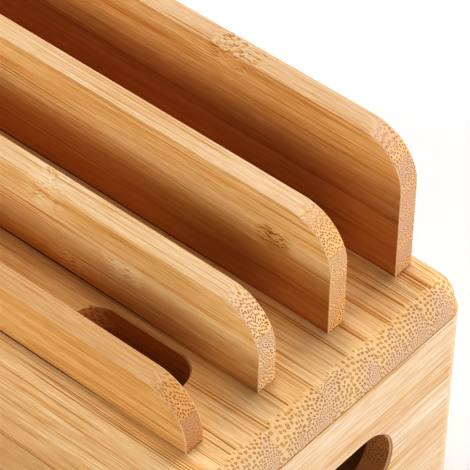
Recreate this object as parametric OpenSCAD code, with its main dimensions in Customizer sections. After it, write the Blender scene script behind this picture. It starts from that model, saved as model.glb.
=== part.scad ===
// Bamboo charging station organizer: a box for a power strip, and a lift-off lid that carries
// four stepped dividers. Millimetres, +X to the right along the dividers, +Y to the back, +Z up.
// The origin is at the middle of the footprint, on the surface that the feet stand on.

/* [Box] */
// Length of the box over its end walls
box_l = 304; // [250:1:360]
// Depth of the box over its front and back walls
box_d = 145; // [130:1:170]
// Height of the four walls
wall_h = 85; // [72:1:110]
// Thickness of each end wall
end_wall_t = 10; // [9.7:0.1:14]
// Thickness of the front and back walls
long_wall_t = 10; // [8:0.1:12]
// Radius of the box's upright back corners
box_corner_r = 9.5; // [3:0.1:9.6]
// Radius of the box's upright front corners
box_front_ease = 1; // [0.3:0.1:2]

/* [End openings] */
// Length of the oval opening in each end wall
opening_l = 68; // [40:1:80]
// Height of the oval opening in each end wall
opening_h = 30.4; // [20:0.1:36]
// Depth of the opening's middle below the top of the wall
opening_drop = 40.7; // [30:0.1:45]
// Bevel round the opening's outer edge
opening_bevel = 0.8; // [0.2:0.1:2]

/* [Bottom panel] */
// Thickness of the bottom panel
bottom_t = 5; // [3:0.1:6]
// Height of the bottom panel above the lower edge of the walls
bottom_raise = 7; // [6:0.5:12]
// Depth of the groove that holds the bottom panel
groove_depth = 4; // [2:0.1:5]
// Play of the bottom panel above it and round its edges in the groove
groove_play = 0.2; // [0.1:0.05:0.5]

/* [Corner dowels] */
// Diameter of a dowel
dowel_d = 6; // [4:0.5:7]
// Length of a dowel
dowel_l = 24; // [16:0.5:30]
// Depth of a dowel in the end wall
dowel_seat = 6; // [4:0.5:7]
// Height of the lowest dowels above the lower edge of the walls
dowel_low = 22; // [22:0.5:28]
// Depth of the highest dowels below the top of the walls
dowel_drop = 12; // [8:0.5:16]
// Bevel on the ends of a dowel
dowel_bevel = 0.6; // [0.2:0.1:1.5]

/* [Feet] */
// Diameter of a foot's head
foot_d = 9.5; // [7:0.1:9.6]
// Height of a foot's head, which lifts the box
foot_h = 2.5; // [2:0.1:5]
// Radius of a foot's lower edge
foot_round = 0.9; // [0.2:0.1:1.8]
// Diameter of the stem that is pushed into the wall
foot_stem_d = 5; // [3:0.1:6]
// Length of the stem
foot_stem_l = 4.5; // [3:0.1:5]
// Bevel on the end of the stem
foot_stem_bevel = 0.6; // [0.2:0.1:1.2]
// Distance from a foot's axis to the front or back face of the box
foot_inset = 22; // [16:0.5:30]

/* [Lid] */
// Thickness of the lid panel
lid_t = 12; // [10:0.1:16]
// How far the lid stands back from each face of the box
lid_reveal = 0.3; // [0.1:0.1:1]
// Radius of the rounding over the lid's ends and back
lid_round = 8.5; // [3:0.1:9]
// Radius of the lid's back corners, seen from above
lid_corner_r = 11.7; // [10:0.1:16]
// Radius of the lid's front edge
lid_front_ease = 0.6; // [0.2:0.1:1.5]

/* [Dividers] */
// Thickness of each divider
divider_t = 8.4; // [6:0.1:10]
// Distance from one divider to the next, face to face
divider_pitch = 34.8; // [32:0.1:36]
// Height of the front divider above the lid
front_divider_h = 21.3; // [20.5:0.1:30]
// Rise from each divider to the one behind it
divider_step = 11.5; // [4:0.1:20]
// Radius of each divider's two top corners
divider_corner_r = 18.5; // [6:0.1:20]
// Radius of the long edges of a divider's top and ends
divider_ease = 0.6; // [0.2:0.1:1.5]
// Distance from the ends of the dividers to the ends of the lid
end_margin = 18.9; // [14:0.1:30]
// Distance from the back divider to the back of the lid
back_margin = 7.6; // [4:0.1:9]

/* [Cable slots] */
// Length of a cable slot
slot_l = 48; // [30:1:60]
// Width of a cable slot
slot_w = 19.4; // [10:0.1:20]
// Distance from a slot's middle to the end of the dividers
slot_inset = 44.4; // [38:0.1:60]
// Bevel round a slot's upper edge
slot_bevel = 0.5; // [0.2:0.1:1.5]

/* [Lid battens] */
// Width of a batten along the box
batten_w = 12; // [10:0.5:16]
// Height of a batten below the lid
batten_h = 8; // [6:0.5:12]
// Clearance from a batten to the walls of the box
batten_play = 1; // [0.5:0.1:3]
// Bevel along a batten's lower edges
batten_bevel = 1.5; // [0.5:0.1:3]

/* [Screws] */
// Diameter of the screws' shanks
screw_d = 3.5; // [3:0.1:4]
// Diameter of the screws' countersunk heads
screw_head_d = 7; // [6:0.1:8]
// Height of a head's straight rim above its countersunk part
screw_rim = 0.3; // [0.1:0.1:0.8]
// Width of the cross recess in a head
recess_w = 0.9; // [0.5:0.1:1.2]
// Length of each arm of the recess from tip to tip
recess_l = 3.6; // [2:0.1:4]
// Depth of the recess
recess_depth = 1.2; // [0.5:0.1:1.5]
// Length of the screws that hold the dividers
divider_screw_l = 28; // [20:0.5:30]
// Length of the screws that hold the battens
batten_screw_l = 16; // [12:0.5:17]
// Distance from the outer divider screws to the ends of the dividers
divider_screw_end = 14; // [10:0.5:18]
// Distance from the outer batten screws to the ends of the batten
batten_screw_end = 14; // [8:0.5:30]
// Clearance round a screw's shank in the piece that it passes through
screw_play = 0.25; // [0.1:0.05:0.5]

/* [Hidden] */
$fn = 64;
// Length by which a cutting shape runs past the face that it opens
over = 1;
// Clearance round shanks, stems and dowels, and past their ends, in the holes that hold them
snug = 0.05;
divider_count = 4;

// Heights of the levels, from the surface up
wall_z = foot_h;
lid_z = wall_z + wall_h;
lid_top = lid_z + lid_t;

// Inside of the box
inner_l = box_l - 2 * end_wall_t;
inner_d = box_d - 2 * long_wall_t;

// Outline of the lid, and length of the dividers on it
lid_l = box_l - 2 * lid_reveal;
lid_d = box_d - 2 * lid_reveal;
divider_l = lid_l - 2 * end_margin;

// Front face and height of divider i, counted from the back
function divider_y(i) = lid_d / 2 - back_margin - divider_t - i * divider_pitch;
function divider_h(i) = front_divider_h + (divider_count - 1 - i) * divider_step;

// Middle of the slots: in the lane in front of each divider but the last, and towards each end
slot_ys = [for (i = [0 : divider_count - 2]) (divider_y(i) + divider_y(i + 1) + divider_t) / 2];
slot_x = divider_l / 2 - slot_inset;

// Bottom panel, which lies on the lower face of its groove
bottom_z = wall_z + bottom_raise;
groove_h = bottom_t + groove_play;
groove_l = inner_l + 2 * groove_depth;
groove_d = inner_d + 2 * groove_depth;

// Middle of the oval openings
opening_z = lid_z - opening_drop;

// Dowels: three up each corner, in the middle of the long walls' thickness
dowel_top = wall_h - dowel_drop;
dowel_zs = [for (h = [dowel_low, (dowel_low + dowel_top) / 2, dowel_top]) wall_z + h];
dowel_x = inner_l / 2 + dowel_seat - dowel_l / 2;
dowel_y = (box_d - long_wall_t) / 2;

// Feet under the end walls
foot_x = (box_l - end_wall_t) / 2;
foot_y = box_d / 2 - foot_inset;

// Battens just inside the walls
batten_l = inner_d - 2 * batten_play;
batten_x = inner_l / 2 - batten_play - batten_w / 2;

// Screw places along a divider and along a batten
divider_screw_xs = [for (k = [-1, -1 / 3, 1 / 3, 1]) k * (divider_l / 2 - divider_screw_end)];
batten_screw_ys = [for (k = [-1, 0, 1]) k * (batten_l / 2 - batten_screw_end)];

// Depth of the tapered part of a screw's head
screw_sink = (screw_head_d - screw_d) / 2;

// Colours
lid_tan = [0.90, 0.74, 0.53];
divider_tan = [0.84, 0.60, 0.35];
wall_tan = [0.93, 0.79, 0.60];
inner_tan = [0.80, 0.62, 0.40];
rubber = [0.16, 0.15, 0.14];
steel = [0.72, 0.71, 0.68];

// Corner of a plate outside a round of radius r, to be cut away: the corner is at the origin and
// the plate runs to +X and +Y
module spandrel(r) {
    difference() {
        translate([-over, -over]) square(r + over);
        translate([r, r]) circle(r);
    }
}

// Section of a board's edge, from x = 0 out to x = w and from y = 0 to y = t. Its outer corners
// have the radii near_r at y = 0 and far_r at y = t, where 0 leaves the corner square.
module edge_section(w, t, near_r, far_r) {
    difference() {
        square([w, t]);
        if (near_r > 0) translate([w, 0]) rotate(90) spandrel(near_r);
        if (far_r > 0) translate([w, t]) rotate(180) spandrel(far_r);
    }
}

// Board on edge: length l along X, thickness t along +Y, height h, top corners of radius corner_r.
// The long edges of its ends and top have the radii near_r in front and far_r behind.
module upright_board(l, h, t, corner_r, near_r, far_r) {
    straight = l - 2 * corner_r;
    for (side = [0, 1]) mirror([side, 0, 0]) {
        linear_extrude(h - corner_r) edge_section(l / 2, t, near_r, far_r);
        translate([straight / 2, 0, h - corner_r]) {
            rotate([0, -90, 0]) linear_extrude(straight / 2)
                edge_section(corner_r, t, near_r, far_r);
            rotate([90, 0, 0]) mirror([0, 0, 1]) rotate_extrude(angle = 90)
                edge_section(corner_r, t, near_r, far_r);
        }
    }
}

// Oval bore along Z, of length l and width w, from z = 0 up to a face at z = depth that it leaves
// with a bevel
module oval_bore(l, w, depth, bevel) {
    r = w / 2;
    straight = l - w;
    for (side = [-1, 1]) translate([side * straight / 2, 0, 0]) {
        translate([0, 0, -over]) cylinder(h = depth + 2 * over, r = r);
        translate([0, 0, depth - bevel]) cylinder(h = bevel, r1 = r, r2 = r + bevel);
        translate([0, 0, depth]) cylinder(h = over, r = r + bevel);
    }
    translate([-straight / 2, 0, 0]) rotate([90, 0, 90]) linear_extrude(straight) polygon([
        [-r, -over], [r, -over], [r, depth - bevel], [r + bevel, depth],
        [r + bevel, depth + over], [-r - bevel, depth + over], [-r - bevel, depth],
        [-r, depth - bevel]
    ]);
}

// Round piece along +Z from z = 0, bevelled at both ends
module pin(d, l, low_bevel, high_bevel) {
    r = d / 2;
    rotate_extrude() polygon([
        [0, 0], [r - low_bevel, 0], [r, low_bevel], [r, l - high_bevel], [r - high_bevel, l], [0, l]
    ]);
}

// Hole along +Z from an open face at z = 0, for a round piece that it holds
module held_hole(d, depth) {
    translate([0, 0, -over]) cylinder(h = over + depth + snug, r = d / 2 + snug);
}

// Countersunk wood screw along +Z, with the top of its head at z = 0
module screw(length) {
    head_r = screw_head_d / 2;
    shank_r = screw_d / 2;
    difference() {
        rotate_extrude() polygon([
            [0, 0], [head_r, 0], [head_r, screw_rim], [shank_r, screw_rim + screw_sink],
            [shank_r, length - screw_d], [0, length]
        ]);
        for (turn = [0, 90]) rotate(turn) translate([-recess_l / 2, -recess_w / 2, -over])
            cube([recess_l, recess_w, over + recess_depth]);
    }
}

// Hole that a screw passes through, with the seat of its head at z = 0
module screw_hole(depth) {
    head_r = screw_head_d / 2;
    shank_r = screw_d / 2 + screw_play;
    rotate_extrude() polygon([
        [0, -over], [head_r, -over], [head_r, screw_rim],
        [shank_r, screw_rim + head_r - shank_r], [shank_r, depth + over], [0, depth + over]
    ]);
}

// Copies of a shape at both ends of the box
module at_both_ends(x) {
    for (side = [-1, 1]) translate([side * x, 0, 0]) children();
}

// Oval cable slots through the lid
module slot_cuts() {
    for (y = slot_ys) at_both_ends(slot_x) translate([0, y, lid_z])
        oval_bore(slot_l, slot_w, lid_t, slot_bevel);
}

// Places of the screws under divider i
module at_divider_screws(i) {
    for (x = divider_screw_xs) translate([x, divider_y(i) + divider_t / 2, lid_z]) children();
}

// Places of the screws under the batten at x
module at_batten_screws(x) {
    for (y = batten_screw_ys) translate([x, y, lid_z - batten_h]) children();
}

// Board of the lid with its rounded ends and back, its underside at z = 0
module lid_board() {
    front_slab = 2 * lid_front_ease;
    run = lid_d - lid_corner_r - front_slab;
    core_l = lid_l - 2 * lid_corner_r;
    back_y = lid_d / 2 - lid_corner_r;
    translate([0, -lid_d / 2, 0])
        upright_board(lid_l, lid_t, front_slab, lid_round, lid_front_ease, 0);
    translate([-core_l / 2, back_y - run, 0]) cube([core_l, run, lid_t]);
    translate([-core_l / 2, back_y, 0]) rotate([90, 0, 90]) linear_extrude(core_l)
        edge_section(lid_corner_r, lid_t, 0, lid_round);
    for (side = [0, 1]) mirror([side, 0, 0]) translate([core_l / 2, back_y, 0]) {
        rotate([90, 0, 0]) linear_extrude(run) edge_section(lid_corner_r, lid_t, 0, lid_round);
        rotate_extrude(angle = 90) edge_section(lid_corner_r, lid_t, 0, lid_round);
    }
}

module lid_panel() {
    color(lid_tan) difference() {
        translate([0, 0, lid_z]) lid_board();
        slot_cuts();
        for (i = [0 : divider_count - 1]) at_divider_screws(i) screw_hole(lid_t);
        for (side = [-1, 1]) at_batten_screws(side * batten_x) translate([0, 0, batten_h])
            held_hole(screw_d, batten_screw_l - batten_h);
    }
}

// Divider i, counted from the back
module divider(i) {
    color(divider_tan) difference() {
        translate([0, divider_y(i), lid_top]) upright_board(
            divider_l, divider_h(i), divider_t, divider_corner_r, divider_ease, divider_ease
        );
        at_divider_screws(i) translate([0, 0, lid_t]) held_hole(screw_d, divider_screw_l - lid_t);
    }
}

module back_divider() {
    divider(0);
}

module second_divider() {
    divider(1);
}

module third_divider() {
    divider(2);
}

module front_divider() {
    divider(3);
}

module divider_screws() {
    color(steel) for (i = [0 : divider_count - 1]) at_divider_screws(i) screw(divider_screw_l);
}

// Batten at the left for side = -1 and at the right for side = 1
module batten(side) {
    half_w = batten_w / 2;
    color(inner_tan) difference() {
        translate([side * batten_x, batten_l / 2, lid_z]) rotate([90, 0, 0])
            linear_extrude(batten_l) polygon([
                [-half_w, 0], [-half_w, batten_bevel - batten_h], [batten_bevel - half_w, -batten_h],
                [half_w - batten_bevel, -batten_h], [half_w, batten_bevel - batten_h], [half_w, 0]
            ]);
        at_batten_screws(side * batten_x) screw_hole(batten_h);
    }
}

module left_batten() {
    batten(-1);
}

module right_batten() {
    batten(1);
}

module batten_screws() {
    color(steel) for (side = [-1, 1]) at_batten_screws(side * batten_x) screw(batten_screw_l);
}

// Places of the dowels' inner ends, with +Z pointing out through the end walls
module at_dowels() {
    for (side = [0, 1], y = [-dowel_y, dowel_y], z = dowel_zs) mirror([side, 0, 0])
        translate([dowel_x - dowel_l / 2, y, z]) rotate([0, 90, 0]) children();
}

// Holes for the dowels, in both of the walls that they join
module dowel_cuts() {
    at_dowels() translate([0, 0, -snug]) cylinder(h = dowel_l + 2 * snug, r = dowel_d / 2 + snug);
}

// Groove round the inside of the walls
module groove_cut() {
    translate([-groove_l / 2, -groove_d / 2, bottom_z]) cube([groove_l, groove_d, groove_h]);
}

// End wall at the left for side = 1 and at the right for side = 0
module end_wall(side) {
    color(wall_tan) difference() {
        mirror([side, 0, 0]) difference() {
            translate([inner_l / 2, -box_d / 2, wall_z]) linear_extrude(wall_h)
                edge_section(end_wall_t, box_d, box_front_ease, box_corner_r);
            translate([inner_l / 2, 0, opening_z]) rotate([90, 0, 90])
                oval_bore(opening_l, opening_h, end_wall_t, opening_bevel);
            for (y = [-foot_y, foot_y]) translate([foot_x, y, wall_z])
                held_hole(foot_stem_d, foot_stem_l);
        }
        groove_cut();
        dowel_cuts();
    }
}

module left_end_wall() {
    end_wall(1);
}

module right_end_wall() {
    end_wall(0);
}

// Wall between the end walls, with its front face at y
module long_wall(y) {
    color(wall_tan) difference() {
        translate([-inner_l / 2, y, wall_z]) cube([inner_l, long_wall_t, wall_h]);
        groove_cut();
        dowel_cuts();
    }
}

module front_wall() {
    long_wall(-box_d / 2);
}

module back_wall() {
    long_wall(box_d / 2 - long_wall_t);
}

module bottom_panel() {
    panel_l = groove_l - 2 * groove_play;
    panel_d = groove_d - 2 * groove_play;
    color(inner_tan) translate([-panel_l / 2, -panel_d / 2, bottom_z])
        cube([panel_l, panel_d, bottom_t]);
}

module corner_dowels() {
    color(inner_tan) at_dowels() pin(dowel_d, dowel_l, dowel_bevel, dowel_bevel);
}

// Push-in rubber foot under an end wall
module foot(x_side, y_side) {
    color(rubber) translate([x_side * foot_x, y_side * foot_y, 0]) {
        rotate_extrude() edge_section(foot_d / 2, foot_h, foot_round, 0);
        translate([0, 0, foot_h]) pin(foot_stem_d, foot_stem_l, 0, foot_stem_bevel);
    }
}

module front_left_foot() {
    foot(-1, -1);
}

module front_right_foot() {
    foot(1, -1);
}

module back_left_foot() {
    foot(-1, 1);
}

module back_right_foot() {
    foot(1, 1);
}

lid_panel();
back_divider();
second_divider();
third_divider();
front_divider();
divider_screws();
left_batten();
right_batten();
batten_screws();
left_end_wall();
right_end_wall();
front_wall();
back_wall();
bottom_panel();
corner_dowels();
front_left_foot();
front_right_foot();
back_left_foot();
back_right_foot();
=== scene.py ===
# %% [markdown]
# # A bamboo charging station organizer
# The object is a bamboo box for a power strip. Its lid carries four stepped dividers, and phones
# and tablets stand between them while their cables come up through oval slots.
# Every board is already a true solid, so this lesson is about its finish: laminated bamboo under a
# thin clear varnish. The first cell loads the solids as a fixed frame and notes their outer box.

# %% Load the solids
import math

import bpy
from mathutils import Matrix, Vector


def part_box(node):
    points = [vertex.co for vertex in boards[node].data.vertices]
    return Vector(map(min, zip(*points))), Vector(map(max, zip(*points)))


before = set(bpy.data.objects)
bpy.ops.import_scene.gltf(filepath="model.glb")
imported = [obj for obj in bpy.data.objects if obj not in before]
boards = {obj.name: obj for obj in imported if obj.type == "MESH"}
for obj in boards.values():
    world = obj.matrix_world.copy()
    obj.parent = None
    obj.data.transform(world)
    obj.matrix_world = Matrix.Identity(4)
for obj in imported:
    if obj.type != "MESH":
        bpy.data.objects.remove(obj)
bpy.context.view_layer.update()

# %% [markdown]
# ## The camera
# The picture was taken from the right and well above, through a long lens: parallel edges hardly
# draw together. A camera on a long lens is turned in three steps: round the vertical, up by its
# elevation, and by a small roll about its own line of sight.

# %% Place the camera
MM = 0.001
camera_azimuth = math.radians(40.27)
camera_elevation = math.radians(44.26)
camera_roll = math.radians(0.96)
camera_place = Vector((550.1, -518.8, 808.1)) * MM
camera_lens = 232.5

camera_data = bpy.data.cameras.new("camera")
camera_data.lens = camera_lens
camera_data.sensor_width = 36
camera_data.clip_end = 20
camera = bpy.data.objects.new("camera", camera_data)
turn = Matrix.Rotation(camera_azimuth, 4, "Z")
tilt = Matrix.Rotation(math.pi / 2 - camera_elevation, 4, "X")
roll = Matrix.Rotation(camera_roll, 4, "Z")
camera.matrix_world = Matrix.Translation(camera_place) @ turn @ tilt @ roll
bpy.context.scene.collection.objects.link(camera)
bpy.context.scene.camera = camera
print("camera stands", round(camera_place.length, 3), "m from the object's foot")

# %% [markdown]
# ## Wiring helpers
# A procedural material is a small circuit. Two helpers keep it readable: one adds a node and
# plugs its inputs, where a value may be a number or another node's output, and one does a step of
# arithmetic.

# %% Helpers for node trees
def put(tree, kind, inputs=(), **settings):
    """Adds a node. inputs maps a socket's name or number to a value or to another socket."""
    node = tree.nodes.new(kind)
    for name, value in settings.items():
        setattr(node, name, value)
    for name, value in dict(inputs).items():
        if isinstance(value, bpy.types.NodeSocket):
            tree.links.new(value, node.inputs[name])
        else:
            node.inputs[name].default_value = value
    return node


def calc(tree, operation, *values, **settings):
    """One step of arithmetic on numbers or sockets."""
    node = put(tree, "ShaderNodeMath", dict(enumerate(values)), operation=operation, **settings)
    return node.outputs[0]


def ramp_between(tree, value, low, high):
    """0 where value is below low, 1 above high, and smooth between them."""
    inputs = {"Value": value, "From Min": low, "From Max": high}
    node = put(tree, "ShaderNodeMapRange", inputs, interpolation_type="SMOOTHSTEP")
    return node.outputs["Result"]


def blend_colours(tree, factor, first, second, mode="MIX"):
    """Mixes two colours by factor."""
    node = put(tree, "ShaderNodeMix", data_type="RGBA", blend_type=mode)
    for socket, value in ((node.inputs[0], factor), (node.inputs[6], first), (node.inputs[7], second)):
        if isinstance(value, bpy.types.NodeSocket):
            tree.links.new(value, socket)
        else:
            socket.default_value = value
    return node.outputs[2]


def vector_of(tree, x, y, z):
    """Joins three numbers or sockets into a vector."""
    return put(tree, "ShaderNodeCombineXYZ", {"X": x, "Y": y, "Z": z}).outputs[0]


def new_group(name, inputs, outputs):
    """Makes a shader node group. inputs and outputs map a socket's name to its kind."""
    tree = bpy.data.node_groups.new(name, "ShaderNodeTree")
    for socket, kind in inputs.items():
        tree.interface.new_socket(socket, in_out="INPUT", socket_type="NodeSocket" + kind)
    for socket, kind in outputs.items():
        tree.interface.new_socket(socket, in_out="OUTPUT", socket_type="NodeSocket" + kind)
    return tree, tree.nodes.new("NodeGroupInput").outputs, tree.nodes.new("NodeGroupOutput").inputs


# %% [markdown]
# ## What laminated bamboo is
# A bamboo board is glued up from strips cut out of the culm's wall, 11 to 13 mm wide. Each strip has
# its own tone. Through it run bundles of dark fibres. They show as long thin lenses on a face that
# runs with the grain and as dots on a cut end. Every 20 cm or so a strip crosses a knuckle of the
# culm, where the fibres curl and darken.
#
# Because the same bundles have to show as lenses on one face and as dots on the next, the grain is
# built in three dimensions: columns that wander slowly along the grain. The rounded end of the lid
# then turns from lenses to dots by itself, as the real one does.
#
# The group's own frame has X along the fibres, Y across the strips and Z through their thickness.

# %% Grain group: strips
grain, given, result = new_group("bamboo grain", {
    "Place": "Vector", "End Grain": "Float", "Broad Face": "Float", "Seed": "Float",
    "Strip Width": "Float", "Strip Edge": "Float", "Strip Contrast": "Float",
    "Band Contrast": "Float",
    "Board Middle": "Float", "Wall Turn": "Float", "Wall Cut": "Float", "Smooth Strip": "Float",
    "Bundle Spacing": "Float", "Roundover": "Float", "Dot Fade": "Float", "Fade From": "Float", "Streaks": "Float", "Flames": "Float", "Lines": "Float",
    "Dots": "Float", "Knuckle Place": "Float", "Knuckle Strip": "Float",
    "Other Knuckles": "Float", "Knuckle Reach": "Float", "Knuckle Depth": "Float",
    "Knuckle Blush": "Float",
    "Joint Place": "Float", "Rings": "Float", "Wood": "Color", "Cut End": "Color",
    "Face Tint": "Color",
}, {"Color": "Color", "Roughness": "Float", "Height": "Float"})

place = put(grain, "ShaderNodeSeparateXYZ", {0: given["Place"]}).outputs
along, across, through = place["X"], place["Y"], place["Z"]


def centred(value):
    """A random share from 0 to 1, moved to lie evenly round 0."""
    return calc(grain, "SUBTRACT", value, 0.5)


strip_place = calc(grain, "DIVIDE", calc(grain, "SUBTRACT", across, given["Strip Edge"]),
                   given["Strip Width"])
strip_number = calc(grain, "FLOOR", strip_place)
strip_share = calc(grain, "FRACT", strip_place)
dice = put(grain, "ShaderNodeTexWhiteNoise", {
    "W": calc(grain, "MULTIPLY_ADD", given["Seed"], 17, strip_number),
}, noise_dimensions="1D")
strip_tone = dice.outputs["Value"]
strip_dice = put(grain, "ShaderNodeSeparateColor", {0: dice.outputs["Color"]}).outputs
edge_share = calc(grain, "MINIMUM", strip_share, calc(grain, "SUBTRACT", 1, strip_share))
edge_gap = calc(grain, "MULTIPLY", edge_share, given["Strip Width"])
glue_line = calc(grain, "SUBTRACT", 1, ramp_between(grain, edge_gap, 0.00005, 0.00025))
smooth_strip = calc(grain, "COMPARE", strip_number, given["Smooth Strip"], 0.1)

# %% [markdown]
# A knuckle is where the culm had its cross wall. On a strip it is a patch about as long as the strip
# is wide, and the fibres curl round it. The strip named by Knuckle Strip has it at Knuckle Place, and
# every other strip has its own near Other Knuckles.

# %% Grain group: where the knuckles are
named = calc(grain, "COMPARE", strip_number, given["Knuckle Strip"], 0.1)
other_place = calc(grain, "MULTIPLY_ADD", centred(strip_dice["Green"]), 0.05,
                   given["Other Knuckles"])
knuckle_place = put(grain, "ShaderNodeMix", {
    0: named, 2: other_place, 3: given["Knuckle Place"],
}, data_type="FLOAT").outputs[0]
knuckle_along = calc(grain, "DIVIDE", calc(grain, "SUBTRACT", along, knuckle_place),
                     given["Knuckle Reach"])
knuckle_across = calc(grain, "MULTIPLY", centred(strip_share), 1.9)
knuckle_far = calc(grain, "SQRT", calc(grain, "MULTIPLY_ADD", knuckle_along, knuckle_along,
                                       calc(grain, "MULTIPLY", knuckle_across, knuckle_across)))
knuckle_zone = calc(grain, "SUBTRACT", 1, ramp_between(grain, knuckle_far, 0.3, 1.4))

# %% Grain group: noise along the fibres
# Each strip is another piece of culm: it has its own offset and a slight slope of its fibres
curl_noise = put(grain, "ShaderNodeTexNoise", {
    "Vector": given["Place"], "Scale": 260, "Detail": 1,
}, noise_dimensions="3D").outputs[0]
curl = calc(grain, "MULTIPLY", calc(grain, "MULTIPLY", centred(curl_noise), 0.0045), knuckle_zone)
slope = calc(grain, "MULTIPLY", centred(strip_dice["Green"]), 0.045)
own_along = calc(grain, "MULTIPLY_ADD", strip_dice["Red"], 3, along)
own_across = calc(grain, "MULTIPLY_ADD", along, slope,
                  calc(grain, "MULTIPLY_ADD", strip_dice["Blue"], 0.7, across))
own_across = calc(grain, "ADD", own_across, curl)
own_through = calc(grain, "MULTIPLY_ADD", strip_dice["Red"], 0.5, through)


def streaky_noise(scale_along, scale_round, detail, output=0):
    """Noise drawn out along the fibres, so that a flat face shows it as streaks."""
    stretched = vector_of(grain, calc(grain, "MULTIPLY", own_along, scale_along),
                          calc(grain, "MULTIPLY", own_across, scale_round),
                          calc(grain, "MULTIPLY", own_through, scale_round))
    return put(grain, "ShaderNodeTexNoise", {
        "Vector": stretched, "Scale": 1, "Detail": detail,
    }, noise_dimensions="3D").outputs[output]


fine = streaky_noise(60, 1900, 1)
flecks = streaky_noise(170, 2200, 0)
coarse = streaky_noise(16, 600, 1)
bands = streaky_noise(10, 180, 1)
near_edge = calc(grain, "SUBTRACT", 1, ramp_between(grain, edge_gap, 0, 0.003))
clusters = ramp_between(grain, calc(grain, "MULTIPLY_ADD", near_edge, 0.10,
                                    streaky_noise(7, 140, 1)), 0.49, 0.61)
lines = ramp_between(grain, streaky_noise(12, 2300, 0), 0.56, 0.66)
lines = calc(grain, "MULTIPLY", lines, calc(grain, "MULTIPLY_ADD", clusters, 0.85, 0.15))
flames = ramp_between(grain, streaky_noise(10, 700, 1), 0.55, 0.68)
flames = calc(grain, "MULTIPLY", flames, clusters)
presence = ramp_between(grain, streaky_noise(14, 420, 1), 0.45, 0.63)
sway = put(grain, "ShaderNodeSeparateColor", {0: streaky_noise(9, 150, 1, "Color")}).outputs

# %% [markdown]
# A culm's wall isn't the same all through. Near its inside the bundles are large and far apart in
# yellow pith, and towards its skin they are small and crowded, in pinker wood. So the bundles
# stand on a web of rays and rings whose middle lies outside the strip: there the web is closest.
# Each strip lies in the board at its own turn, so this change runs slantwise over its cut end.

# %% Grain group: the web of fibre bundles
web_radius = 0.016
wall_depth = 0.016
wall_angle = calc(grain, "MULTIPLY_ADD", centred(strip_dice["Red"]), 0.5, given["Wall Turn"])
wall_angle = calc(grain, "MULTIPLY_ADD", smooth_strip, math.pi, wall_angle)
turn_cos, turn_sin = calc(grain, "COSINE", wall_angle), calc(grain, "SINE", wall_angle)
sideways = calc(grain, "MULTIPLY", centred(strip_share), given["Strip Width"])
sideways = calc(grain, "MULTIPLY_ADD", centred(sway["Red"]), 0.0022, sideways)
downward = calc(grain, "SUBTRACT", given["Board Middle"], through)
# Over a rounded edge the web follows the surface, so that bundles cut at a slant stay round
lean = calc(grain, "SQRT", calc(grain, "SUBTRACT", 1, calc(
    grain, "MULTIPLY", given["End Grain"], given["End Grain"])))
bow = calc(grain, "SUBTRACT", calc(grain, "ADD", calc(grain, "ARCSINE", given["End Grain"]), lean), 1)
downward = calc(grain, "MULTIPLY_ADD", given["Roundover"], bow, downward)
downward = calc(grain, "MULTIPLY_ADD", centred(sway["Green"]), 0.0036, downward)
to_skin = calc(grain, "ADD", calc(grain, "MULTIPLY", sideways, turn_cos),
               calc(grain, "MULTIPLY", downward, turn_sin))
own_cut = calc(grain, "MULTIPLY_ADD", centred(strip_dice["Green"]), 0.008, given["Wall Cut"])
to_skin = calc(grain, "ADD", to_skin, own_cut)
to_side = calc(grain, "SUBTRACT", calc(grain, "MULTIPLY", sideways, turn_sin),
               calc(grain, "MULTIPLY", downward, turn_cos))
skin_share = calc(grain, "ADD", calc(grain, "DIVIDE", to_skin, wall_depth), 0.5)

web_in = calc(grain, "MAXIMUM", calc(grain, "SUBTRACT", web_radius, to_skin), 0.003)
web_far = calc(grain, "SQRT", calc(grain, "MULTIPLY_ADD", web_in, web_in,
                                   calc(grain, "MULTIPLY", to_side, to_side)))
web_step = calc(grain, "DIVIDE", given["Bundle Spacing"], web_radius)
ring_count = calc(grain, "DIVIDE", calc(grain, "LOGARITHM", calc(grain, "DIVIDE", web_far,
                                        web_radius), math.e), calc(grain, "MULTIPLY", web_step, 1.2))
ray_count = calc(grain, "DIVIDE", calc(grain, "ARCTAN2", to_side, web_in), web_step)
# The web's squares stand on their corners, so neighbouring rows are staggered
bundle_web = vector_of(
    grain,
    calc(grain, "MULTIPLY_ADD", calc(grain, "ADD", ring_count, ray_count), 0.7071,
         calc(grain, "MULTIPLY", strip_dice["Green"], 50)),
    calc(grain, "MULTIPLY_ADD", calc(grain, "SUBTRACT", ring_count, ray_count), 0.7071,
         calc(grain, "MULTIPLY", strip_dice["Blue"], 50)), 0.0)
bundle_far = put(grain, "ShaderNodeTexVoronoi", {
    "Vector": bundle_web, "Scale": 1,
    "Randomness": calc(grain, "MULTIPLY_ADD", given["Rings"], -0.12, 0.62),
}, voronoi_dimensions="2D", feature="F1").outputs["Distance"]

# %% Grain group: how bold each bundle is
# A surface that leans only a little over the fibres already cuts the bundles into short dashes
oblique = ramp_between(grain, given["End Grain"], 0.06, 0.28)
cut_share = ramp_between(grain, given["End Grain"], 0.12, 0.50)
lengthwise = calc(grain, "SUBTRACT", 1, cut_share)
bundle_edge = calc(grain, "MULTIPLY_ADD", oblique, calc(
    grain, "MULTIPLY_ADD", given["Rings"], 0.04, 0.12), 0.17)
bundles = calc(grain, "SUBTRACT", 1, ramp_between(
    grain, calc(grain, "DIVIDE", bundle_far, bundle_edge), 0.65, 1.05))
pores = calc(grain, "SUBTRACT", 1, ramp_between(grain, bundle_far, 0.08, 0.20))
pithy = calc(grain, "SUBTRACT", 1, ramp_between(grain, skin_share, 0.1, 0.5))
crowded = ramp_between(grain, skin_share, 0.5, 1.0)
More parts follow.
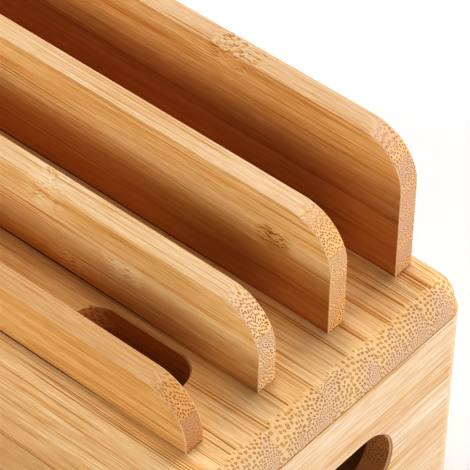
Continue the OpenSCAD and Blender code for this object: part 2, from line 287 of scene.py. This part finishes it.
# Away from the skin a bundle cut across is a ring round pale pores
pores = calc(grain, "MULTIPLY", pores, calc(grain, "SUBTRACT", oblique, crowded, use_clamp=True))
pores = calc(grain, "MULTIPLY", pores, given["Rings"])
bundles = calc(grain, "SUBTRACT", bundles, calc(grain, "MULTIPLY", pores, 0.8))
bold_end = calc(grain, "SUBTRACT", 1, calc(grain, "MULTIPLY", calc(
    grain, "MULTIPLY", crowded, given["Rings"]), 0.40))
bold_end = calc(grain, "SUBTRACT", bold_end, calc(grain, "MULTIPLY", pithy, 0.40))
fading = calc(grain, "SUBTRACT", 1, ramp_between(grain, given["End Grain"], given["Fade From"], 0.9))
bold_end = calc(grain, "MULTIPLY", bold_end, calc(grain, "SUBTRACT", 1, calc(
    grain, "MULTIPLY", fading, given["Dot Fade"])))
bold_side = calc(grain, "MULTIPLY", calc(grain, "MULTIPLY_ADD", presence, 0.8, 0.2),
                 calc(grain, "SUBTRACT", 1, calc(grain, "MULTIPLY", crowded, 0.6)))
on_broad = calc(grain, "MULTIPLY_ADD", given["Broad Face"], 0.4, 0.6)
bold_side = calc(grain, "MULTIPLY", bold_side, on_broad)
bold = put(grain, "ShaderNodeMix", {
    0: oblique, 2: calc(grain, "MULTIPLY", bold_side, given["Streaks"]),
    3: calc(grain, "MULTIPLY", bold_end, given["Dots"]),
}, data_type="FLOAT").outputs[0]
bundle_depth = calc(grain, "MULTIPLY", bundles, bold)

# %% Grain group: knuckle marks
# The fibres that cross a knuckle show as short dashes, bent along with the grain round them
dashes = ramp_between(grain, streaky_noise(260, 1500, 0), 0.58, 0.68)
knuckles = calc(grain, "MULTIPLY", calc(grain, "MULTIPLY", knuckle_zone, given["Knuckle Depth"]),
                dashes)
knuckle_blush = calc(grain, "MULTIPLY", knuckle_zone, given["Knuckle Blush"])

# %% [markdown]
# All the colours of bamboo lie on one line, from cream over amber to dark brown, as if a single
# amber dye lay in it more or less deep. Dye takes a share of the light that is there, and most of
# the blue: so each colour channel is its clear wood times the dye's own share, raised to the
# depth. Strips, drifts, fibres and bundles only add to the depth.

# %% Grain group: depth of the dye
drift = calc(grain, "MULTIPLY_ADD", centred(coarse), 0.8, calc(grain, "MULTIPLY", centred(bands), 2))
drift = calc(grain, "MULTIPLY", drift, calc(grain, "MULTIPLY_ADD", given["Broad Face"], 0.78, 0.22))
tone = calc(grain, "MULTIPLY", centred(strip_tone), given["Strip Contrast"])
tone = calc(grain, "MULTIPLY", calc(grain, "MULTIPLY_ADD", drift, given["Band Contrast"], tone), 0.4)
tone = calc(grain, "MULTIPLY", tone, calc(grain, "MULTIPLY_ADD", cut_share, -0.75, 1))
flat = calc(grain, "SUBTRACT", 1, oblique)
dye = calc(grain, "MULTIPLY_ADD", centred(flecks), 0.3, calc(grain, "MULTIPLY", centred(fine), 0.6))
dye = calc(grain, "MULTIPLY", dye, lengthwise)
dye = calc(grain, "MULTIPLY_ADD", calc(grain, "MULTIPLY", lines, flat), given["Lines"], dye)
dye = calc(grain, "MULTIPLY", dye, calc(grain, "MULTIPLY_ADD", given["Broad Face"], 0.2, 0.8))
dye = calc(grain, "ADD", bundle_depth, dye)
dye = calc(grain, "ADD", knuckle_blush, dye)
dye = calc(grain, "MULTIPLY_ADD", glue_line, 0.12, dye)
# Seen from the side the fibres are redder, so there less of the red light is taken
# and so do the small plain bundles that have no rings
redder = calc(grain, "MULTIPLY", oblique, calc(grain, "SUBTRACT", 1, given["Rings"]))
redder = calc(grain, "MULTIPLY_ADD", redder, 0.25, calc(grain, "MULTIPLY", flat, 0.15))
red_depth = calc(grain, "MULTIPLY", dye, calc(grain, "SUBTRACT", 1, redder))
red_depth = calc(grain, "ADD", knuckles, red_depth)
dye = calc(grain, "ADD", knuckles, dye)
blaze = calc(grain, "MULTIPLY", calc(grain, "MULTIPLY", flames, flat), given["Flames"])
blaze = calc(grain, "MULTIPLY", blaze, calc(grain, "MULTIPLY_ADD", given["Broad Face"], 0.7, 0.3))

# %% Grain group: colours
skin_tone = calc(grain, "MULTIPLY_ADD", centred(bands), 0.5, ramp_between(grain, skin_share, 0.2, 0.8))
skin_tone = put(grain, "ShaderNodeClamp", {"Value": skin_tone}).outputs[0]
cut = blend_colours(grain, 1.0, given["Cut End"],
                    blend_colours(grain, skin_tone, (1.02, 1.02, 0.94, 1), (0.98, 0.98, 1.08, 1)),
                    "MULTIPLY")
wood = blend_colours(grain, given["Broad Face"], given["Wood"],
                     blend_colours(grain, 1.0, given["Wood"], given["Face Tint"], "MULTIPLY"))
wood = blend_colours(grain, cut_share, wood, cut)
# Flames are redder than the dye: they leave the red light alone
dye_shares = ((0.58, 0.75, 0.2, red_depth), (0.39, 1.0, 0.6, dye), (0.155, 1.0, 0.7, dye))
dyed = vector_of(grain, *(
    calc(grain, "POWER", share, calc(
        grain, "MULTIPLY_ADD", blaze, flame_share,
        calc(grain, "MULTIPLY_ADD", tone, tone_share, depth)))
    for share, tone_share, flame_share, depth in dye_shares))
wood = blend_colours(grain, 1.0, wood, dyed, "MULTIPLY")
# Painted shadow: a thin dark line where a divider meets the lid stands for the shade in the gap there, fainter towards
# the right end where the joint is tighter
joint_gap = calc(grain, "ABSOLUTE", calc(grain, "SUBTRACT", across, given["Joint Place"]))
joint_gap_shadow = calc(grain, "SUBTRACT", 1, ramp_between(grain, joint_gap, 0.0003, 0.0010))
joint_gap_shadow = calc(grain, "MULTIPLY", joint_gap_shadow, calc(grain, "SUBTRACT", 1, calc(
    grain, "MULTIPLY", ramp_between(grain, along, 0.070, 0.110), 0.7)))
wood = blend_colours(grain, joint_gap_shadow, wood, (0.16, 0.024, 0.001, 1))
grain.links.new(wood, result["Color"])

# %% Grain group: gloss and height
gloss = calc(grain, "MULTIPLY_ADD", bundles, 0.12, 0.42)
grain.links.new(calc(grain, "MULTIPLY_ADD", centred(fine), 0.2, gloss), result["Roughness"])
# A cut end is sanded flat, so only its bundles stand lower there
relief = calc(grain, "MULTIPLY", fine, calc(grain, "MULTIPLY_ADD", lengthwise, 0.30, 0.05))
height = calc(grain, "MULTIPLY_ADD", bundle_depth, -0.3, relief)
height = calc(grain, "SUBTRACT", height, calc(grain, "MULTIPLY", glue_line, 0.4))
height = calc(grain, "MULTIPLY_ADD", knuckles, -0.5, height)
grain.links.new(height, result["Height"])
print("grain group:", len(grain.nodes), "nodes")

# %% [markdown]
# ## Wear and painted highlight
# Sanding and handling leave the eased edges of a board paler and duller, and the same pale colour
# paints the bright highlight that the eased edges catch. An eased edge is where the surface faces
# neither straight through the board nor straight to its side, so a group can find it from the direction
# that the surface faces. Nearly every board uses it, with its own share of wear and painted highlight.

# %% Worn edges and painted highlight group
wear_and_highlight, wear_given, wear_result = new_group("worn edges and painted highlight", {
    "Color": "Color", "Roughness": "Float", "Facing Along": "Float", "Facing Across": "Float",
    "Facing Through": "Float", "Wear And Highlight": "Float",
}, {"Color": "Color", "Roughness": "Float"})
facing_side = calc(wear_and_highlight, "MAXIMUM", wear_given["Facing Along"], wear_given["Facing Across"])
eased = ramp_between(wear_and_highlight, calc(wear_and_highlight, "MULTIPLY", wear_given["Facing Through"], facing_side),
                     0.15, 0.45)
# The ends' edges get the most wear and painted highlight
wear_and_highlight_share = calc(wear_and_highlight, "MULTIPLY_ADD", wear_given["Facing Along"], 1.1, 0.3, use_clamp=True)
wear_and_highlight_share = calc(wear_and_highlight, "MULTIPLY", calc(wear_and_highlight, "MULTIPLY", wear_and_highlight_share, wear_given["Wear And Highlight"]), eased)
pale_highlight_wood = (1.0, 0.73, 0.45, 1)
wear_and_highlight.links.new(blend_colours(wear_and_highlight, wear_and_highlight_share, wear_given["Color"], pale_highlight_wood), wear_result["Color"])
wear_and_highlight.links.new(calc(wear_and_highlight, "MULTIPLY_ADD", eased, 0.1, wear_given["Roughness"]),
               wear_result["Roughness"])

# %% [markdown]
# ## Painted shade in the hollows
# The narrow lanes, the slots and the inside of the box fall into shade, where light bounces redder,
# and that shade is painted into the colour as deeper tones. Masks for these places come from the
# solids' own measures: the inner faces of the walls, the edge round the oval opening, and the foot of
# each divider. The cut ends of the end walls, at the box's corners, soak up more varnish and come out
# deeper as well.

# %% Group for painted shade on the inner faces of the walls, and deeper corner ends
hollow_shade_and_corners, hollow_given, hollow_result = new_group("inner faces painted shade and corners", {
    "Color": "Color", "Place": "Vector", "Facing Along": "Float", "Facing Through": "Float",
    "Outer Face": "Float", "Reach": "Float", "Top": "Float", "Opening Half Width": "Float",
    "Opening Middle": "Float", "Opening Half Height": "Float",
}, {"Color": "Color"})
in_wall = put(hollow_shade_and_corners, "ShaderNodeSeparateXYZ", {0: hollow_given["Place"]}).outputs
wall_along = calc(hollow_shade_and_corners, "ABSOLUTE", in_wall["X"])
# Painted shade: where the edge round the oval opening turns inward it gets a dark red-brown
rim_shade = calc(hollow_shade_and_corners, "MULTIPLY",
           calc(hollow_shade_and_corners, "LESS_THAN", wall_along, hollow_given["Opening Half Width"]),
           calc(hollow_shade_and_corners, "COMPARE", in_wall["Y"], hollow_given["Opening Middle"],
                hollow_given["Opening Half Height"]))
rim_shade = calc(hollow_shade_and_corners, "MULTIPLY", rim_shade, calc(hollow_shade_and_corners, "SUBTRACT", 1, ramp_between(
    hollow_shade_and_corners, hollow_given["Facing Through"], 0.60, 0.85)))
wall_depth_in = calc(hollow_shade_and_corners, "SUBTRACT", hollow_given["Outer Face"],
                     calc(hollow_shade_and_corners, "ABSOLUTE", in_wall["Z"]))
inside = ramp_between(hollow_shade_and_corners, wall_depth_in, 0.0001, 0.0012)
inside = calc(hollow_shade_and_corners, "MULTIPLY", inside,
              calc(hollow_shade_and_corners, "LESS_THAN", wall_along, hollow_given["Reach"]))
inside = calc(hollow_shade_and_corners, "MULTIPLY", inside, calc(
    hollow_shade_and_corners, "LESS_THAN", in_wall["Y"], calc(hollow_shade_and_corners, "SUBTRACT", hollow_given["Top"], 0.0005)))
rim_shade = calc(hollow_shade_and_corners, "MULTIPLY", rim_shade, calc(hollow_shade_and_corners, "SUBTRACT", 1, inside))
shade_and_corner_tone = blend_colours(hollow_shade_and_corners, rim_shade, (1, 1, 1, 1), (0.55, 0.22, 0.08, 1))
# Painted shade: the cut sides of an opening get the deepest, the walls' broad inner faces a little
inner_shade_tone = blend_colours(hollow_shade_and_corners, ramp_between(hollow_shade_and_corners, hollow_given["Facing Through"], 0.3, 0.8),
                           (0.93, 0.62, 0.37, 1), (0.97, 0.86, 0.70, 1))
shade_and_corner_tone = blend_colours(hollow_shade_and_corners, inside, shade_and_corner_tone, inner_shade_tone)
corner = calc(hollow_shade_and_corners, "MULTIPLY", calc(hollow_shade_and_corners, "GREATER_THAN", wall_along, hollow_given["Reach"]),
              ramp_between(hollow_shade_and_corners, hollow_given["Facing Along"], 0.3, 0.8))
shade_and_corner_tone = blend_colours(hollow_shade_and_corners, corner, shade_and_corner_tone, (0.90, 0.80, 0.60, 1))
hollow_shade_and_corners.links.new(blend_colours(hollow_shade_and_corners, 1.0, hollow_given["Color"], shade_and_corner_tone, "MULTIPLY"),
                 hollow_result["Color"])

# %% Group for painted shade at the foot of each divider
# Painted shade, deeper towards the foot: only faces that look into a lane have it, and the back
# divider's rear face looks out
foot_shade_group, foot_given, foot_result = new_group("divider foot painted shade", {
    "Tint": "Color", "Foot Shade Tint": "Color", "Height": "Float", "Low": "Float", "High": "Float",
    "Facing Back": "Float", "Lane Behind": "Float",
}, {"Tint": "Color"})
in_lane = calc(foot_shade_group, "MAXIMUM", foot_given["Lane Behind"],
               calc(foot_shade_group, "LESS_THAN", foot_given["Facing Back"], 0))
rise = put(foot_shade_group, "ShaderNodeMapRange", {
    "Value": foot_given["Height"], "From Min": foot_given["Low"], "From Max": foot_given["High"],
}, interpolation_type="SMOOTHSTEP").outputs["Result"]
at_foot = calc(foot_shade_group, "MULTIPLY", in_lane, calc(foot_shade_group, "SUBTRACT", 1, rise))
deeper = blend_colours(foot_shade_group, 1.0, foot_given["Tint"], foot_given["Foot Shade Tint"], "MULTIPLY")
foot_shade_group.links.new(blend_colours(foot_shade_group, at_foot, foot_given["Tint"], deeper), foot_result["Tint"])

# %% [markdown]
# ## From a board's own axes to the grain's frame
# Boards lie in three ways: strips side by side in the flat lid, strips on top of each other in the
# dividers and long walls, and the same turned a quarter in the end walls. The material swaps the
# axes before it asks the groups, and tells them how far the surface faces along the grain, across
# it and through the board.

# %% Bamboo material
def place_group(tree, group, inputs=(), links=()):
    """Places a node group in a material. inputs are its own values, links come from other nodes."""
    node = put(tree, "ShaderNodeGroup", node_tree=group)
    for socket, value in dict(inputs).items():
        node.inputs[socket].default_value = value
    for socket, source in dict(links).items():
        tree.links.new(source, node.inputs[socket])
    return node


def bamboo(name, axes, colours, edge_wear_and_highlight=0.3, walls=None, foot_shade_values=None, **values):
    """A bamboo finish. axes names the board's axes along the grain, across and through."""
    material = bpy.data.materials.new(name)
    material.use_nodes = True
    tree = material.node_tree
    shader = tree.nodes["Principled BSDF"]
    coordinates = put(tree, "ShaderNodeTexCoord").outputs
    spot = put(tree, "ShaderNodeSeparateXYZ", {0: coordinates["Object"]}).outputs
    facing = put(tree, "ShaderNodeSeparateXYZ", {0: coordinates["Normal"]}).outputs
    end_facing, side_facing, broad_facing = (calc(tree, "ABSOLUTE", facing[a]) for a in axes)
    in_board = vector_of(tree, *(spot[axis] for axis in axes))
    links = {"Place": in_board, "End Grain": end_facing,
             "Broad Face": ramp_between(tree, broad_facing, 0.75, 1)}
    if foot_shade_values is not None:
        links["Face Tint"] = place_group(tree, foot_shade_group, {"Tint": (*colours["Face Tint"], 1), **foot_shade_values}, {
            "Height": spot["Z"], "Facing Back": facing["Y"]}).outputs["Tint"]
    own = {socket: (*colour, 1) for socket, colour in colours.items()}
    own.update({socket.replace("_", " ").title(): value for socket, value in values.items()})
    wood = place_group(tree, grain, own, links)
    bump = put(tree, "ShaderNodeBump", {
        "Strength": 0.35, "Distance": 0.00012, "Height": wood.outputs["Height"],
    })
    finish = place_group(tree, wear_and_highlight, {"Wear And Highlight": edge_wear_and_highlight}, {
        "Color": wood.outputs["Color"], "Roughness": wood.outputs["Roughness"],
        "Facing Along": end_facing, "Facing Across": side_facing, "Facing Through": broad_facing,
    })
    colour = finish.outputs["Color"]
    if walls is not None:
        colour = place_group(tree, hollow_shade_and_corners, walls, {
            "Color": colour, "Place": in_board, "Facing Along": end_facing,
            "Facing Through": broad_facing}).outputs["Color"]
    tree.links.new(colour, shader.inputs["Base Color"])
    tree.links.new(finish.outputs["Roughness"], shader.inputs["Roughness"])
    tree.links.new(bump.outputs[0], shader.inputs["Normal"])
    shader.inputs["Specular IOR Level"].default_value = 0.15
    return material


def dress(node, material):
    """Gives a board its finish."""
    mesh = boards[node].data
    mesh.materials.clear()
    mesh.materials.append(material)


def bamboo_colours(wood, end, tint=(1, 1, 1)):
    """A board's clear wood along the grain and on its cut ends, and the tint of its broad faces."""
    return {"Wood": wood, "Cut End": end, "Face Tint": tint}


# %% [markdown]
# ## The lid
# The lid needs two more tones, both painted light and shade. Its broad face has painted shade in the
# lanes, deepest towards the foot of the divider behind, and along the front divider a painted light
# lifts the shadow that divider casts. The walls of its slots have painted shade too. Only the lid has
# these, so they are wired into its material directly.

# %% Dress the lid
lid_tint = (1.16, 1.28, 1.49)
lid_colours = bamboo_colours((0.772, 0.504, 0.242), (0.811, 0.595, 0.387), lid_tint)
lid_bamboo = bamboo("lid_bamboo", "XYZ", lid_colours, edge_wear_and_highlight=0.05, seed=3, strip_width=0.0126,
                    strip_edge=0.0002, strip_contrast=0.4, band_contrast=0.32,
                    board_middle=0.0911, wall_turn=0.8, wall_cut=0.0, smooth_strip=0,
                    bundle_spacing=0.0013, roundover=0.0085, dot_fade=0, fade_from=0.2,
                    streaks=1.0, flames=0.5, lines=0.75, dots=1.2, rings=1,
                    knuckle_place=-0.09, knuckle_strip=0, other_knuckles=-0.09,
                    knuckle_reach=0.006, knuckle_depth=0.5, joint_place=-1)
tree = lid_bamboo.node_tree
lid_grain = next(node for node in tree.nodes if getattr(node, "node_tree", None) == grain)
lid_shader = tree.nodes["Principled BSDF"]
coordinates = put(tree, "ShaderNodeTexCoord").outputs
spot = put(tree, "ShaderNodeSeparateXYZ", {0: coordinates["Object"]}).outputs
facing_up = put(tree, "ShaderNodeSeparateXYZ", {0: coordinates["Normal"]}).outputs["Z"]
sideways_out = calc(tree, "ABSOLUTE", spot["X"])
back_of_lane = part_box("back_divider")[0][1]
lane_step = back_of_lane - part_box("second_divider")[0][1]
lane_place = calc(tree, "DIVIDE", calc(tree, "SUBTRACT", back_of_lane, spot["Y"]), lane_step)
# Painted shade: the lid is deeper in each lane, most near the foot of the divider behind it
near_foot = calc(tree, "SUBTRACT", 1, ramp_between(tree, calc(tree, "FRACT", lane_place), 0, 0.7))
in_lanes = calc(tree, "MULTIPLY", calc(tree, "GREATER_THAN", lane_place, 0),
                calc(tree, "LESS_THAN", lane_place, 3))
in_lanes = calc(tree, "MULTIPLY", in_lanes, calc(tree, "SUBTRACT", 1, ramp_between(
    tree, sideways_out, 0.115, 0.140)))
# Painted light: a paler strip along the front divider's foot lifts the shadow that divider casts
painted_light_strip = calc(tree, "SUBTRACT", 1, ramp_between(tree, lane_place, 3.05, 3.4))
painted_light_strip = calc(tree, "MULTIPLY", painted_light_strip, calc(tree, "GREATER_THAN", lane_place, 3))
painted_light_strip = calc(tree, "MULTIPLY", painted_light_strip, calc(tree, "SUBTRACT", 1, ramp_between(
    tree, sideways_out, 0.120, 0.135)))
lane_shade_tone = blend_colours(tree, calc(tree, "MULTIPLY", near_foot, in_lanes),
                          (*lid_tint, 1), (1.10, 1.08, 0.98, 1))
tree.links.new(blend_colours(tree, painted_light_strip, lane_shade_tone, (1.26, 1.48, 1.79, 1)),
               lid_grain.inputs["Face Tint"])
# Painted shade: the walls of the slots are deeper and redder
in_slot = calc(tree, "MULTIPLY", calc(tree, "LESS_THAN", sideways_out, 0.13),
               calc(tree, "LESS_THAN", calc(tree, "ABSOLUTE", spot["Y"]), 0.068))
in_slot = calc(tree, "MULTIPLY", in_slot, calc(tree, "SUBTRACT", 1, ramp_between(
    tree, calc(tree, "ABSOLUTE", facing_up), 0.3, 0.8)))
slot_shade_tone = blend_colours(tree, in_slot, (1, 1, 1, 1), (1.0, 0.73, 0.49, 1))
worn_and_highlit_colour = lid_shader.inputs["Base Color"].links[0].from_socket
tree.links.new(blend_colours(tree, 1.0, worn_and_highlit_colour, slot_shade_tone, "MULTIPLY"),
               lid_shader.inputs["Base Color"])
dress("lid_panel", lid_bamboo)
print("lane step in mm:", round(lane_step * 1000, 1))

# %% Dress the dividers
# Each has its own middle colour, broad-face tint, painted shade at its foot, strips and knuckles
lid_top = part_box("lid_panel")[1][2]
dividers = {
    "back_divider": dict(base=(0.773, 0.530, 0.311), tint=(1.066, 0.954, 0.687), end=(0.816, 0.574, 0.367),
                         foot_shade_tint=(0.92, 0.70, 0.46), knuckle_blush=-0.05,
                         strip_contrast=1.2, dots=1.3, bundle_spacing=0.00075, seed=1504,
                         strip_width=0.0121, strip_edge=0.1359, knuckle_place=0.060,
                         knuckle_strip=1, other_knuckles=-0.07, knuckle_reach=0.011,
                         knuckle_depth=0.7),
    "second_divider": dict(base=(0.853, 0.653, 0.450), tint=(1.001, 0.887, 0.606), end=(0.856, 0.597, 0.321),
                           foot_shade_tint=(0.88, 0.66, 0.42), knuckle_blush=0.25,
                           strip_contrast=1.2, dots=1.8, bundle_spacing=0.00072, seed=2577,
                           strip_width=0.0109, strip_edge=0.1213, knuckle_place=0.109,
                           knuckle_strip=0, other_knuckles=-0.09, knuckle_reach=0.007,
                           knuckle_depth=1.0),
    "third_divider": dict(base=(0.852, 0.664, 0.450), tint=(1.056, 1.000, 0.785), end=(0.87, 0.662, 0.405),
                          foot_shade_tint=(0.90, 0.63, 0.28), knuckle_blush=-0.2,
                          strip_contrast=0.7, dots=2.4, bundle_spacing=0.00084, seed=2333,
                          strip_width=0.0114, strip_edge=0.1217, knuckle_place=0.040,
                          knuckle_strip=0, other_knuckles=0.065, knuckle_reach=0.009,
                          knuckle_depth=0.4),
    "front_divider": dict(base=(0.730, 0.474, 0.243), tint=(1.09, 1.084, 0.925), end=(0.735, 0.450, 0.212),
                          foot_shade_tint=(1.0, 1.0, 1.0), knuckle_blush=0.0,
                          strip_contrast=0.7, dots=2.4, bundle_spacing=0.00062, seed=2223,
                          strip_width=0.0127, strip_edge=0.1119, knuckle_place=-0.06,
                          knuckle_strip=0, other_knuckles=-0.07, knuckle_reach=0.007,
                          knuckle_depth=0.5),
}
for name, own in dividers.items():
    low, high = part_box(name)
    middle = (low[1] + high[1]) / 2
    # The foot tint paints shade, deeper towards each divider's foot on faces that look into a lane
    foot_shade_values = {"Foot Shade Tint": (*own.pop("foot_shade_tint"), 1), "Low": high[2] - 0.043,
                   "High": high[2] - 0.014, "Lane Behind": 0 if name == "back_divider" else 1}
    colours = bamboo_colours(own.pop("base"), own.pop("end"), own.pop("tint"))
    dress(name, bamboo(f"{name}_bamboo", "XZY", colours, foot_shade_values=foot_shade_values,
                       band_contrast=0.6, board_middle=middle, wall_turn=0.3, wall_cut=0.001, smooth_strip=-99,
                       roundover=0, dot_fade=0.7, fade_from=0.2, rings=0, edge_wear_and_highlight=0.8, streaks=0.5, flames=0.35, lines=0.5,
                       joint_place=lid_top, **own))

# %% Dress the box
opening = {"Opening Half Width": 0.037, "Opening Middle": 0.0468, "Opening Half Height": 0.018}
end_colours = bamboo_colours((0.857, 0.668, 0.468), (0.857, 0.668, 0.468))
wall_colours = bamboo_colours((0.71, 0.455, 0.21), (0.71, 0.455, 0.21))
inner_colours = bamboo_colours((0.75, 0.49, 0.24), (0.75, 0.49, 0.24))
box_boards = (
    ("left_end_wall", "YZX", end_colours, 21, 0.0875),
    ("right_end_wall", "YZX", end_colours, 23, 0.0875),
    ("front_wall", "XZY", wall_colours, 25, 0.0800),
    ("back_wall", "XZY", wall_colours, 27, 0.0800),
    ("bottom_panel", "XYZ", inner_colours, 31, 0.0875),
    ("left_batten", "YXZ", inner_colours, 33, 0.0875),
    ("right_batten", "YXZ", inner_colours, 35, 0.0875),
    ("corner_dowels", "XYZ", inner_colours, 37, 0.0875))
for name, axes, colours, seed, strip_edge in box_boards:
    low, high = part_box(name)
    along_axis, through_axis = "XYZ".index(axes[0]), "XYZ".index(axes[2])
    walls = None
    if name.endswith("wall"):
        walls = {"Outer Face": max(abs(low[through_axis]), abs(high[through_axis])),
                 "Reach": high[along_axis] - 0.010, "Top": high[2]}
    if name.endswith("end_wall"):
        walls.update(opening)
    dress(name, bamboo(f"{name}_bamboo", axes, colours, edge_wear_and_highlight=0.05, walls=walls, seed=seed,
                       strip_width=0.0142, strip_edge=strip_edge, strip_contrast=0.3,
                       band_contrast=0.35,
                       board_middle=(low[through_axis] + high[through_axis]) / 2, wall_turn=0.4,
                       wall_cut=0.0, smooth_strip=-99, bundle_spacing=0.0009, roundover=0,
                       dot_fade=1, fade_from=0.75, rings=0, streaks=0.3, flames=0.3,
                       lines=0.35, dots=1.0, knuckle_place=-0.02, knuckle_strip=-3,
                       other_knuckles=-0.06, knuckle_reach=0.006, knuckle_depth=0.5,
                       joint_place=-1))

# %% [markdown]
# ## Screws and feet
# The screws under the lid are zinc-plated steel, and the feet are matt black rubber. Neither is one
# even tone: plating has faint clouds, and rubber has a fine bloom.

# %% Steel and rubber
clouds, clouds_given, clouds_result = new_group("soft clouds", {
    "Place": "Vector", "Scale": "Float", "First": "Color", "Second": "Color",
    "Rough Low": "Float", "Rough High": "Float",
}, {"Color": "Color", "Roughness": "Float", "Height": "Float"})
cloud_noise = put(clouds, "ShaderNodeTexNoise", {
    "Vector": clouds_given["Place"], "Scale": clouds_given["Scale"], "Detail": 3,
}).outputs[0]
clouds.links.new(blend_colours(clouds, cloud_noise, clouds_given["First"], clouds_given["Second"]),
                 clouds_result["Color"])
clouds.links.new(put(clouds, "ShaderNodeMapRange", {
    "Value": cloud_noise, "To Min": clouds_given["Rough Low"], "To Max": clouds_given["Rough High"],
}).outputs[0], clouds_result["Roughness"])
clouds.links.new(cloud_noise, clouds_result["Height"])


def clouded(name, first, second, rough_low, rough_high, size, metallic):
    """A finish whose colour and gloss drift in soft clouds of the given size."""
    material = bpy.data.materials.new(name)
    material.use_nodes = True
    tree = material.node_tree
    shader = tree.nodes["Principled BSDF"]
    place_in = put(tree, "ShaderNodeTexCoord").outputs["Object"]
    drift_of = place_group(tree, clouds, {
        "Scale": 1 / size, "First": (*first, 1), "Second": (*second, 1),
        "Rough Low": rough_low, "Rough High": rough_high}, {"Place": place_in}).outputs
    bump = put(tree, "ShaderNodeBump", {
        "Strength": 0.2, "Distance": 0.0001, "Height": drift_of["Height"],
    })
    tree.links.new(drift_of["Color"], shader.inputs["Base Color"])
    tree.links.new(drift_of["Roughness"], shader.inputs["Roughness"])
    tree.links.new(bump.outputs[0], shader.inputs["Normal"])
    shader.inputs["Metallic"].default_value = metallic
    return material


zinc = clouded("zinc_plate", (0.62, 0.61, 0.58), (0.50, 0.49, 0.45), 0.25, 0.45, 0.002, 1.0)
black_rubber = clouded("black_rubber", (0.025, 0.024, 0.023), (0.05, 0.048, 0.046), 0.6, 0.8,
                       0.001, 0.0)
for name in ("divider_screws", "batten_screws"):
    dress(name, zinc)
for name in ("front_left_foot", "front_right_foot", "back_left_foot", "back_right_foot"):
    dress(name, black_rubber)

# %% [markdown]
# ## Studio
# The picture has a white ground and broad soft light, with no hard shadow. A pale floor and a ring
# of large round lamps give that.

# %% Floor
floor_half = 3.0
floor_mesh = bpy.data.meshes.new("floor")
floor_mesh.from_pydata([(-floor_half, -floor_half, 0), (floor_half, -floor_half, 0),
                        (floor_half, floor_half, 0), (-floor_half, floor_half, 0)],
                       [], [(0, 1, 2, 3)])
floor = bpy.data.objects.new("floor", floor_mesh)
bpy.context.scene.collection.objects.link(floor)
floor_paint = bpy.data.materials.new("floor_paint")
floor_paint.use_nodes = True
floor_shader = floor_paint.node_tree.nodes["Principled BSDF"]
floor_shader.inputs["Base Color"].default_value = (0.90, 0.905, 0.93, 1)
floor_shader.inputs["Roughness"].default_value = 0.9
floor_mesh.materials.append(floor_paint)

# %% Sky and lamps
# The sky is white to look at but gives no light: all of it comes from the lamps, so that the
# narrow lanes between the dividers fall into warm shade
scene = bpy.context.scene
scene.view_settings.view_transform = "Standard"
scene.view_settings.gamma = 0.7
sky = bpy.data.worlds.new("sky")
sky.use_nodes = True
background = sky.node_tree.nodes["Background"]
background.inputs["Color"].default_value = (1, 1, 1, 1)
seen = put(sky.node_tree, "ShaderNodeLightPath").outputs["Is Camera Ray"]
sky.node_tree.links.new(seen, background.inputs["Strength"])
scene.world = sky

lamp_distance = 1.8
lamp_diameter = 0.9
object_middle = Vector((0, 0, 0.08))


def lamp(name, azimuth, elevation, power):
    """A round soft lamp. Azimuth 0 is in front, 90 to the right; elevation is its height in degrees."""
    turn, lift = math.radians(azimuth), math.radians(elevation)
    outward = Vector((math.sin(turn) * math.cos(lift), -math.cos(turn) * math.cos(lift),
                      math.sin(lift)))
    data = bpy.data.lights.new(name, "AREA")
    data.shape = "DISK"
    data.size = lamp_diameter
    data.energy = power
    piece = bpy.data.objects.new(name, data)
    piece.location = object_middle + outward * lamp_distance
    piece.rotation_euler = (-outward).to_track_quat("-Z", "Y").to_euler()
    piece.visible_camera = False
    scene.collection.objects.link(piece)
    return piece


lamp("ceiling_lamp", 0, 90, 9.1)
lamp("right_lamp", 90, 12, 11.7)
lamp("front_right_lamp", 45, 12, 4.0)
lamp("back_right_lamp", 135, 12, 7.4)
lamp("front_left_lamp", 315, 12, 25.5)
lamp("back_lamp", 180, 38, 15.8)
lamp("high_back_left_lamp", 225, 64, 10.0)
